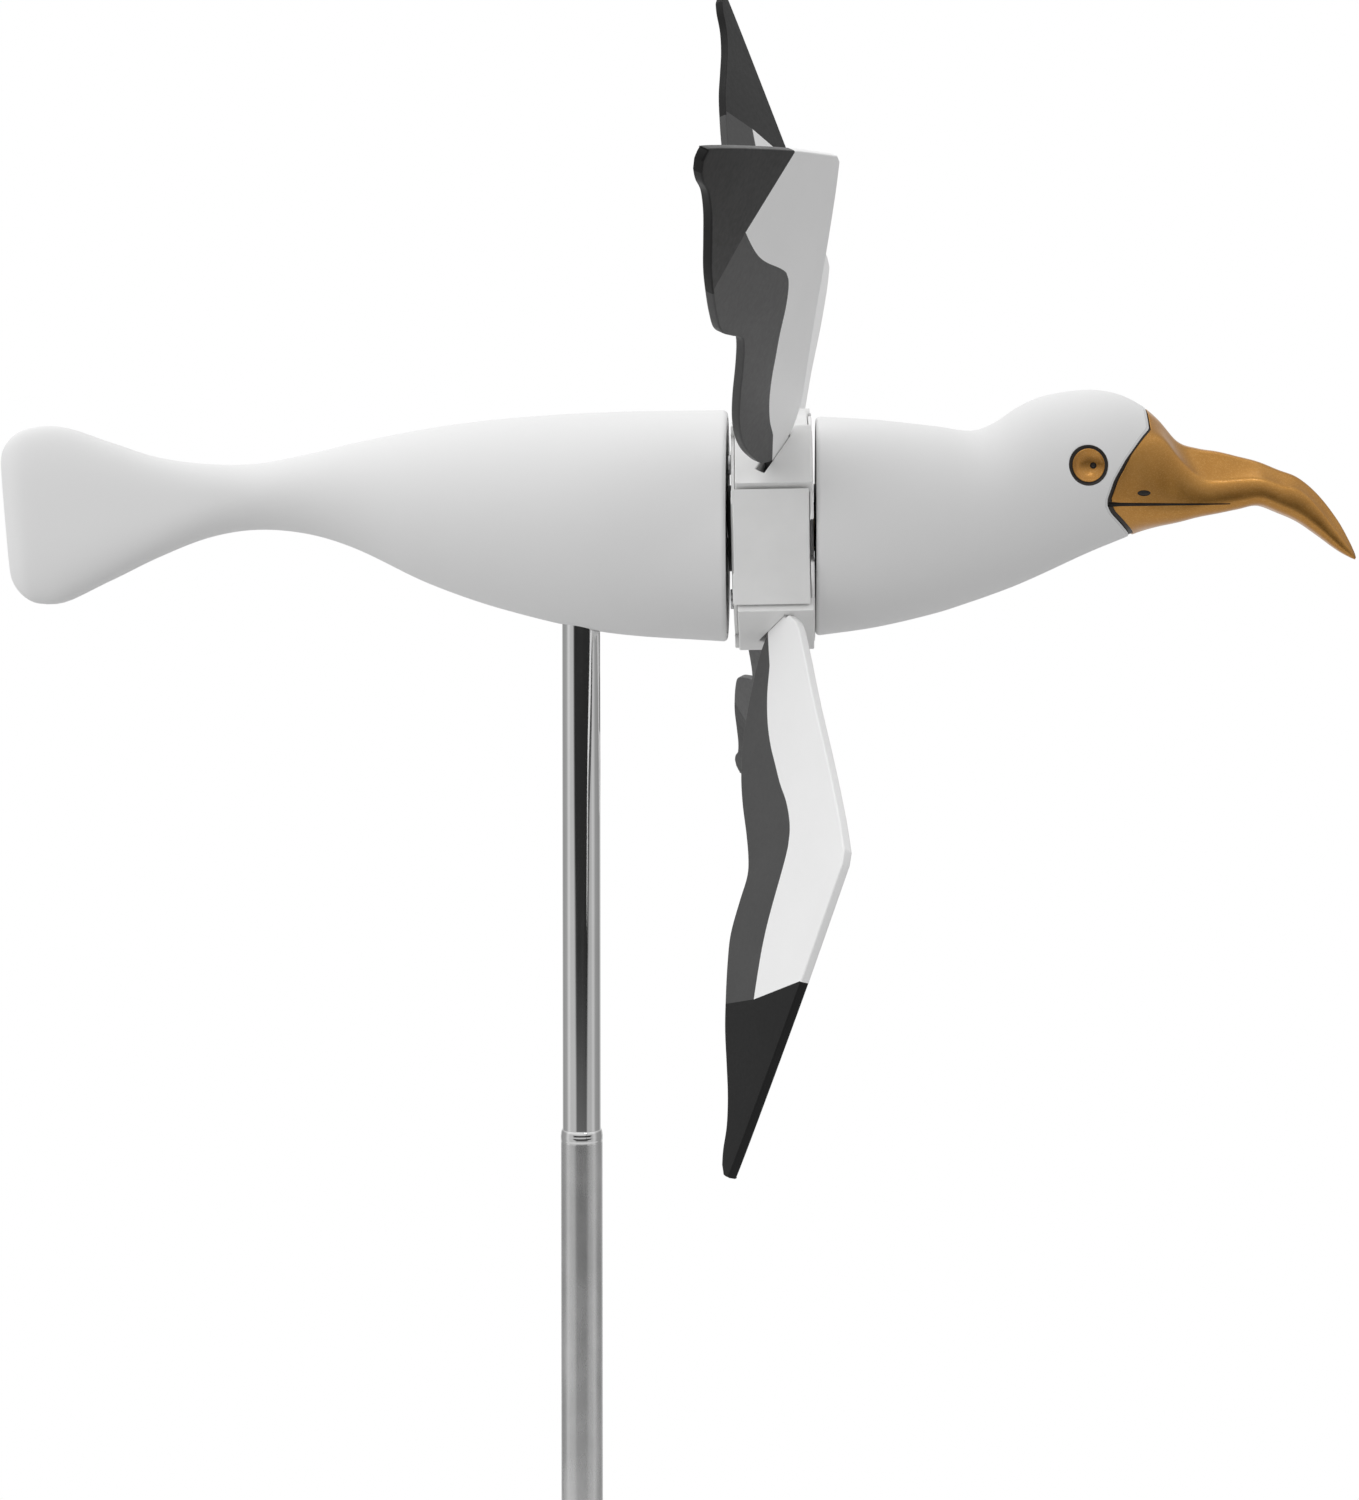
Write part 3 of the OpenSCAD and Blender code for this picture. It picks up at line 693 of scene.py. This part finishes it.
def build_beak():
    """Gold beak with an inked groove round its root, a mouth line and two nostrils."""
    side = [beak_rows(k / BEAK_ROUND) for k in range(BEAK_ROUND + 1)]
    mirror = [[Vector((v.x, -v.y, v.z)) for v in line] for line in side[1:-1]]
    lines = side + mirror[::-1]
    rows, cols = len(side[0]), len(lines)
    points = [lines[k][i] for i in range(rows) for k in range(cols)]
    faces = ring_faces(rows, cols, True)
    marks = [1 if i < 2 else 0 for i in range(rows - 1) for _ in range(cols)]
    hub_point, tip_point = len(points), len(points) + 1
    points.append(Vector(BEAK_MID))
    points.append(Vector((BEAK_TIP_X + 0.35, 0, (BEAK[-1][1] + BEAK[-1][2]) / 2 - 0.3)))
    last = (rows - 1) * cols
    for k in range(cols):
        faces.append((k, (k + 1) % cols, hub_point))
        marks.append(1)
        faces.append((last + k, last + (k + 1) % cols, tip_point))
        marks.append(0)
    beak = mesh_object("beak_gold", points, faces, marks, at_hub())
    wear(beak, "gold_paint", "ink_black")
    cut(beak, *[piece for s in (1, -1) for piece in (mouth_cutter(s), nostril_cutter(s))])
    soften(beak, 40)
    fit_piece(beak, "bird", "gold_paint", "beak")


def mouth_cutter(side):
    """Long wedge that follows the beak's side along the mouth."""
    x0, x1, z0, z1 = MOUTH
    points = []
    count = 24
    for i in range(count + 1):
        t = i / count
        x, z = x0 + (x1 - x0) * t, z0 + (z1 - z0) * t
        half = MOUTH_HALF[0] + (MOUTH_HALF[1] - MOUTH_HALF[0]) * t
        y = beak_y(max(x, 98), z)
        depth = MOUTH_DEPTH * min(1, 4 * (1 - t) + 0.3)
        points += [(x, side * (y - depth), z - half * 0.6), (x, side * (y + 1.5), z - half * 1.3),
                   (x, side * (y + 1.5), z + half * 1.3), (x, side * (y - depth), z + half * 0.6)]
    faces = ring_faces(count + 1, 4, True) + [(0, 1, 2, 3), tuple(4 * count + k for k in range(4))]
    cutter = mesh_object("mouth", points, faces, matrix=at_hub())
    wear(cutter, "ink_black")
    return cutter


def nostril_cutter(side):
    """Shallow oval that lies along the beak's side."""
    x, z = NOSTRIL
    slope = (beak_y(x + 1, z) - beak_y(x - 1, z)) / 2
    place = at_hub(x, side * beak_y(x, z), z) @ Matrix.Rotation(side * math.atan(slope), 4, "Z")
    stretch = Matrix.Diagonal((*NOSTRIL_HALF, 1))
    cutter = lathe("nostril", ball_profile(1, 12), 32, place @ stretch)
    wear(cutter, "ink_black")
    return cutter


# ---------------------------------------------------------------- eyes


def build_eyes():
    """Gold dish with a painted black ring and a small off-centre pupil."""
    dish = [(0, -1.1), (1.2, -1.05), (2.3, -0.85), (3.2, -0.5), (3.9, -0.08), (4.35, 0.22), (4.55, 0.32),
            (4.7, 0.28)]
    ring = [(4.76, 0.06), (4.86, -0.04), (5.3, -0.04), (5.52, 0.06), (EYE_R, 0.2), (EYE_R, -3.2), (0, -3.2)]
    profile = dish + ring
    marks = [0] * (len(dish) - 1) + [1] * len(ring)
    left = lathe("eye_gold_left", profile, 96, eye_matrix(), marks)
    wear(left, "eye_gold", "ink_black")
    pupil_place = eye_matrix() @ Matrix.Translation(Vector(PUPIL) * MM)
    pupil = lathe("pupil", ball_profile(PUPIL_R, 10), 32, pupil_place)
    wear(pupil, "ink_black")
    cut(left, pupil)
    right = mirrored(left, "eye_gold_right")
    for obj, node in ((left, "eye_left"), (right, "eye_right")):
        soften(obj, 40)
        fit_piece(obj, "bird", "gold_paint", node)


# ---------------------------------------------------------------- wings


def wing_outline():
    """Wing seen square on: tenon, leading edge, tip, trailing edge."""
    inner, trail, lead, shoulder = TENON
    tenon = [Vector(p) for p in ((shoulder, trail), (inner, trail), (inner, lead), (shoulder, lead))]
    blade = spline(WING_LEAD, 8) + spline(WING_TIP, 10) + spline(WING_TRAIL, 6)
    return tenon + blade


def shrink_outline(outline, distance):
    """Outline moved inwards by a small distance."""
    n = len(outline)
    out = []
    for i, p in enumerate(outline):
        before, after = (p - outline[i - 1]).normalized(), (outline[(i + 1) % n] - p).normalized()
        normal = Vector((-(before.y + after.y), before.x + after.x))
        grow = max((1 + before.dot(after)) / 2, 0.3) ** 0.5
        out.append(p + normal.normalized() * distance / grow)
    return out


def signed_area(outline):
    n = len(outline)
    return sum(outline[i].cross(outline[(i + 1) % n]) for i in range(n)) / 2


def wing_mark(u, v):
    """Material number of a place on a wing: 0 white, 1 grey, 2 black."""
    if u > straight([(v_tip, u_tip) for u_tip, v_tip in TIP_EDGE], v):
        return 2
    return 0 if v > straight(GREY_EDGE, u) else 1


def wing_mesh_data():
    """Points, faces and material numbers of one wing, in the wing's own plane."""
    outline = wing_outline()
    if signed_area(outline) < 0:
        outline.reverse()
    n = len(outline)
    half, r = WING_T / 2, WING_EDGE_R
    arc = [math.radians(a) for a in (0, 30, 60, 90)]
    levels = [(r * (1 - math.cos(math.pi / 2 - a)), half - r + r * math.sin(math.pi / 2 - a)) for a in arc]
    levels += [(inset, -z) for inset, z in reversed(levels)]
    points, faces, marks = [], [], []
    for inset, z in levels:
        points += [(p.x, p.y, z) for p in shrink_outline(outline, inset)]
    for j in range(len(levels) - 1):
        for k in range(n):
            a, b = j * n + k, j * n + (k + 1) % n
            faces.append((a, b, b + n, a + n))
            middle = (outline[k] + outline[(k + 1) % n]) / 2
            marks.append(wing_mark(middle.x, middle.y))
    rim = shrink_outline(outline, levels[0][0])

    def nearest(p):
        return min(range(n), key=lambda k: (rim[k] - Vector(p)).length)

    ends = {"root": nearest(GREY_EDGE[0]), "trail": nearest(TIP_EDGE[0]), "lead": nearest(TIP_EDGE[-1])}
    inner = [Vector(p) for p in spline(GREY_EDGE, 4)[4:]]
    flat = rim + inner
    junction = len(flat) - 1
    chain = [ends["root"]] + list(range(n, len(flat)))
    edges = list(zip(chain, chain[1:])) + [(ends["trail"], junction), (junction, ends["lead"])]
    made, _, tris, origin, _, _ = delaunay_2d_cdt(flat, edges, [list(range(n))], 1, 1e-6)
    for side, base in ((1, 0), (-1, (len(levels) - 1) * n)):
        place = {}
        for i, p in enumerate(made):
            rims = [o for o in origin[i] if o < n]
            if rims:
                place[i] = base + rims[0]
            else:
                place[i] = len(points)
                points.append((p.x, p.y, side * half))
        for tri in tris:
            middle = sum((made[i] for i in tri), Vector((0, 0))) / len(tri)
            faces.append([place[i] for i in tri])
            marks.append(wing_mark(middle.x, middle.y))
    return points, faces, marks


def rotor_matrix():
    """Place of the rotor, with its own X along the tilted axle."""
    side = Vector((0, 1, 0))
    up = AXLE.cross(side)
    turn = Matrix((AXLE, side, up)).transposed().to_4x4()
    return Matrix.Translation(HUB) @ turn


def build_wings():
    """Four blades, a quarter turn apart."""
    points, faces, marks = wing_mesh_data()
    for i in range(4):
        place = (rotor_matrix() @ Matrix.Rotation(math.radians(FIRST_WING - 90 * i), 4, "X")
                 @ Matrix.Rotation(-PITCH, 4, "Y") @ Matrix.Rotation(-math.pi / 2, 4, "Z"))
        wing = mesh_object(f"wing_blade_{i + 1}", points, faces, marks, place)
        wear(wing, "wing_white", "wing_grey", "wing_black")
        soften(wing, 50)
        wing.modifiers.new("even", "WEIGHTED_NORMAL").keep_sharp = True
        fit_piece(wing, "rotor", "wing_print", f"wing_{i + 1}")


# ---------------------------------------------------------------- pole

LIP = (0.55, 1.6)    # width and height of the rolled lip at a tube's mouth
POLISH = 3.2         # height of the polished band below a tube's mouth
POLISH_PROUD = 0.06  # how far that band stands out
SWAGE = 3            # height of the wider foot inside the next tube
TUBE_WALL = 0.3


def tube_profile(r, low, high, foot_r, bore_r, lip):
    """Profile and material numbers of a tube with a swaged foot; lip adds a polished, rolled-in mouth."""
    outside = [(foot_r, low), (foot_r, low + SWAGE), (r, low + SWAGE + 1), (r, low + SWAGE + 1.6)]
    if not lip:
        plain = outside + [(r, high), (r - TUBE_WALL, high), (r - TUBE_WALL, low)]
        return plain, [0] * len(plain)
    bend = [math.radians(a) for a in range(0, 91, 10)]
    rolled = [(r - LIP[0] * (1 - math.cos(a)), high - LIP[1] * (1 - math.sin(a))) for a in bend]
    throat = [(bore_r + 0.12, high), (bore_r, high - 0.12), (bore_r, high - 2.5), (r - TUBE_WALL, high - 3.1)]
    proud = r + POLISH_PROUD
    polish = [(r, high - POLISH - 0.6), (r, high - POLISH), (proud, high - POLISH + 0.15),
              (proud, high - LIP[1] - 0.15)]
    profile = outside + polish + rolled + throat + [(r - TUBE_WALL, low)]
    polished = len(polish) + len(rolled) + 1
    marks = [0] * len(outside) + [1] * polished + [0] * (len(profile) - len(outside) - polished)
    return profile, marks


def build_pole():
    """Four tubes, sized from their CAD nodes; the top one goes into the bird and has no mouth."""
    tubes = [("top_tube", "top_stage", "steel_mirror"), ("middle_tube", "middle_stage", "steel_satin"),
             ("lower_tube", "lower_stage", "steel_satin"), ("base_tube", "stake", "steel_satin")]
    inner_r = None
    for node, body, finish in tubes:
        low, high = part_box(node)
        mid = [v.co for v in frame["nodes"][node].data.vertices if v.co.z > (low.z + high.z) / 2]
        r = max(math.hypot(co.x, co.y) for co in mid) / MM
        foot = max(math.hypot(v.co.x, v.co.y) for v in frame["nodes"][node].data.vertices
                   if v.co.z < low.z + MM) / MM
        bore = inner_r + 0.05 if inner_r else 0
        profile, marks = tube_profile(r, low.z / MM, high.z / MM, foot, bore, inner_r is not None)
        tube = lathe(node.replace("tube", "stage_tube"), profile, 128, marks=marks)
        wear(tube, finish, "steel_mirror")
        soften(tube, 28)
        fit_piece(tube, body, finish, node)
        inner_r = r


# ---------------------------------------------------------------- CAD nodes that stay


def dress_nodes():
    """Materials and softened edges for the CAD nodes that no new piece stands for."""
    finishes = {
        "hub_white": ["hub_rear", "hub_front", "rear_bulkhead", "front_bulkhead"],
        "steel_satin": ["ground_spike"],
        "steel_mirror": ["axle"],
        "screw_steel": ["rear_shell_screws", "front_shell_screws", "axle_nuts", "hub_screws"],
        "brass": ["pivot_cap", "rear_bush", "front_bush"],
        "black_plastic": ["swivel_socket", "rear_washer", "front_washer"],
    }
    edge_width = {"hub_rear": 0.35, "hub_front": 0.35, "ground_spike": 0.3}
    for finish, nodes in finishes.items():
        for node in nodes:
            obj = frame["nodes"][node]
            obj.data.materials.clear()
            wear(obj, finish)
            obj.modifiers.new("join", "WELD").merge_threshold = 0.00001
            flat = obj.modifiers.new("flat", "DECIMATE")
            flat.decimate_type = "DISSOLVE"
            flat.angle_limit = math.radians(0.5)
            bevel = obj.modifiers.new("edges", "BEVEL")
            bevel.width = edge_width.get(node, 0.12) * MM
            bevel.segments = 3
            bevel.limit_method = "ANGLE"
            bevel.angle_limit = math.radians(35)
            bevel.use_clamp_overlap = node not in ("hub_rear", "hub_front")
            obj.modifiers.new("even", "WEIGHTED_NORMAL").keep_sharp = True


# ---------------------------------------------------------------- studio

CAMERA_FROM_HUB = Vector((0.005, -0.775, -0.0181))
CAMERA_TURN = math.radians(0.68)      # towards the tail
CAMERA_DIP = math.radians(1.03)
CAMERA_SHIFT = (-0.0517, -0.0742)     # lens shift, which keeps the pole upright in the picture
LENS = 64.45
FLOOR_R = 1.3


def build_camera():
    data = bpy.data.cameras.new("camera")
    data.lens = LENS
    data.sensor_width = 36
    data.clip_start = 0.01
    data.shift_x, data.shift_y = CAMERA_SHIFT
    camera = bpy.data.objects.new("camera", data)
    bpy.context.scene.collection.objects.link(camera)
    camera.location = HUB + CAMERA_FROM_HUB
    level = math.cos(CAMERA_DIP)
    look = Vector((-math.sin(CAMERA_TURN) * level, math.cos(CAMERA_TURN) * level, -math.sin(CAMERA_DIP)))
    camera.rotation_euler = look.to_track_quat("-Z", "Y").to_euler()
    bpy.context.scene.camera = camera


def build_floor():
    """Pale round floor that fades to the white backdrop."""
    lowest = cad_box[0].z - 0.0005
    floor = lathe("floor", [(0, -2), (FLOOR_R / MM, -2), (FLOOR_R / MM, 0), (0, 0)], 96,
                  Matrix.Translation((0, 0, lowest)))
    mat = bpy.data.materials.new("floor")
    mat.use_nodes = True
    tree = mat.node_tree
    shader = tree.nodes["Principled BSDF"]
    seen = add(tree, "LightPath").outputs["Is Camera Ray"]
    socket(shader, "Base Color", tint(tree, seen, (0.62, 0.62, 0.62), (0.82, 0.82, 0.82)))
    shader.inputs["Roughness"].default_value = 0.7
    coords = add(tree, "TexCoord").outputs["Object"]
    distance = add(tree, "VectorMath", {0: coords}, operation="LENGTH").outputs["Value"]
    fade = add(tree, "MapRange", {"Value": distance, "From Min": 0.35, "From Max": FLOOR_R * 0.95},
               interpolation_type="SMOOTHSTEP").outputs["Result"]
    fade = add(tree, "Math", {0: fade, 1: seen}, operation="MULTIPLY").outputs[0]
    glow = add(tree, "Emission", {"Color": (1, 1, 1, 1), "Strength": 1.0})
    mixer = add(tree, "MixShader", {0: fade, 1: shader.outputs[0], 2: glow.outputs[0]})
    tree.links.new(mixer.outputs[0], tree.nodes["Material Output"].inputs["Surface"])
    floor.data.materials.append(mat)


# Brightness of the room at eye level: angle from the camera's side as a share of a half turn, level
ROOM = [(0.0, 0.52), (0.34, 0.50), (0.43, 0.64), (0.56, 0.34), (0.74, 0.30), (0.90, 0.66), (1.0, 0.78)]
ROOM_SIDES = (1.05, 0.92)  # the room's brightness at the tail's and the beak's side
ABOVE = 0.30               # light that is added above eye level
FILL = (0.52, 0.0)         # extra soft light on matt surfaces, at the tail's and the beak's side
GAP_LEFT = (-0.50, -0.74)  # edges of the dark gap round the camera, in radians: low down, at eye level
GAP_RIGHT = (0.62, 1.02)
GAP_HEIGHTS = (-0.21, -0.03)   # where the gap's edges have those places, as the height of a direction
GAP_LEVEL = (0.65, 0.05)       # share of the room's light in the gap, low down and at eye level
# name, place, width, height, watts, mirrored in shiny surfaces
LAMPS = [("overhead", (0.0, 0.12, 1.9), 1.4, 1.0, 2.4, True),
         ("strip", (0.54, -0.95, 1.45), 0.4, 0.1, 0.6, True),
         ("key", (-1.1, -1.1, 1.2), 0.9, 0.9, 3, False)]


def build_world():
    """White backdrop for the camera; reflections see a dimmer room, with a dark gap round the camera."""
    world = bpy.data.worlds.new("studio")
    world.use_nodes = True
    tree = world.node_tree
    tree.nodes.clear()
    direction = add(tree, "TexCoord").outputs["Generated"]
    x, y, z = add(tree, "SeparateXYZ", {0: direction}).outputs

    def combine(operation, a, b=0.0):
        return add(tree, "Math", {0: a, 1: b}, operation=operation).outputs[0]

    def ramp(value, low, high, start, end):
        return add(tree, "MapRange", {"Value": value, "From Min": start, "From Max": end, "To Min": low,
                                      "To Max": high}, interpolation_type="SMOOTHSTEP").outputs["Result"]

    azimuth = combine("ARCTAN2", x, combine("MULTIPLY", y, -1.0))
    around = add(tree, "ValToRGB", {"Fac": combine("DIVIDE", combine("ABSOLUTE", azimuth), math.pi)})
    stops = around.color_ramp.elements
    while len(stops) < len(ROOM):
        stops.new(0.5)
    for stop, (place, level) in zip(stops, ROOM):
        stop.position = place
        stop.color = (level, level, level, 1)
    around.color_ramp.interpolation = "EASE"
    room = combine("MULTIPLY", around.outputs["Color"], ramp(x, *ROOM_SIDES, -0.8, 0.8))
    upper = ramp(z, 0, ABOVE, 0.05, 0.5)
    left_edge = ramp(z, *GAP_LEFT, *GAP_HEIGHTS)
    right_edge = ramp(z, *GAP_RIGHT, *GAP_HEIGHTS)
    past_left = ramp(combine("SUBTRACT", azimuth, left_edge), 1, 0, -0.12, 0.12)
    past_right = ramp(combine("SUBTRACT", azimuth, right_edge), 0, 1, -0.10, 0.10)
    outside = combine("MAXIMUM", combine("MAXIMUM", past_left, past_right), ramp(z, 0, 1, 0.0, 0.15))
    gap_level = ramp(z, *GAP_LEVEL, -0.32, -0.12)
    share = add(tree, "Mix", {"Factor": outside}, data_type="FLOAT")
    socket(share, "A", gap_level)
    share.inputs["B"].default_value = 1.0
    light = combine("ADD", combine("MULTIPLY", room, share.outputs["Result"]), upper)
    paths = add(tree, "LightPath").outputs
    fill = combine("MULTIPLY", paths["Is Diffuse Ray"], ramp(x, *FILL, -0.9, 0.9))
    light = combine("MULTIPLY", light, combine("ADD", fill, 1.0))
    reflected = add(tree, "Background", {"Color": (1, 1, 1, 1), "Strength": light})
    white = add(tree, "Background", {"Color": (1, 1, 1, 1), "Strength": 1.0})
    mixer = add(tree, "MixShader", {0: paths["Is Camera Ray"], 1: reflected.outputs[0], 2: white.outputs[0]})
    output = add(tree, "OutputWorld")
    tree.links.new(mixer.outputs[0], output.inputs["Surface"])
    bpy.context.scene.world = world


def softbox(name, place, width, height, watts, mirrored):
    """Rectangular lamp that faces the rotor."""
    data = bpy.data.lights.new(name, "AREA")
    data.shape = "RECTANGLE"
    data.size, data.size_y = width, height
    data.energy = watts
    lamp = bpy.data.objects.new(name, data)
    bpy.context.scene.collection.objects.link(lamp)
    lamp.location = place
    lamp.rotation_euler = (HUB - Vector(place)).to_track_quat("-Z", "Y").to_euler()
    lamp.visible_glossy = mirrored


def build_studio():
    build_camera()
    build_floor()
    build_world()
    for lamp in LAMPS:
        softbox(*lamp)
    bpy.context.scene.view_settings.view_transform = "Standard"


build_bodies()
build_beak()
build_eyes()
build_wings()
build_pole()
dress_nodes()
build_studio()
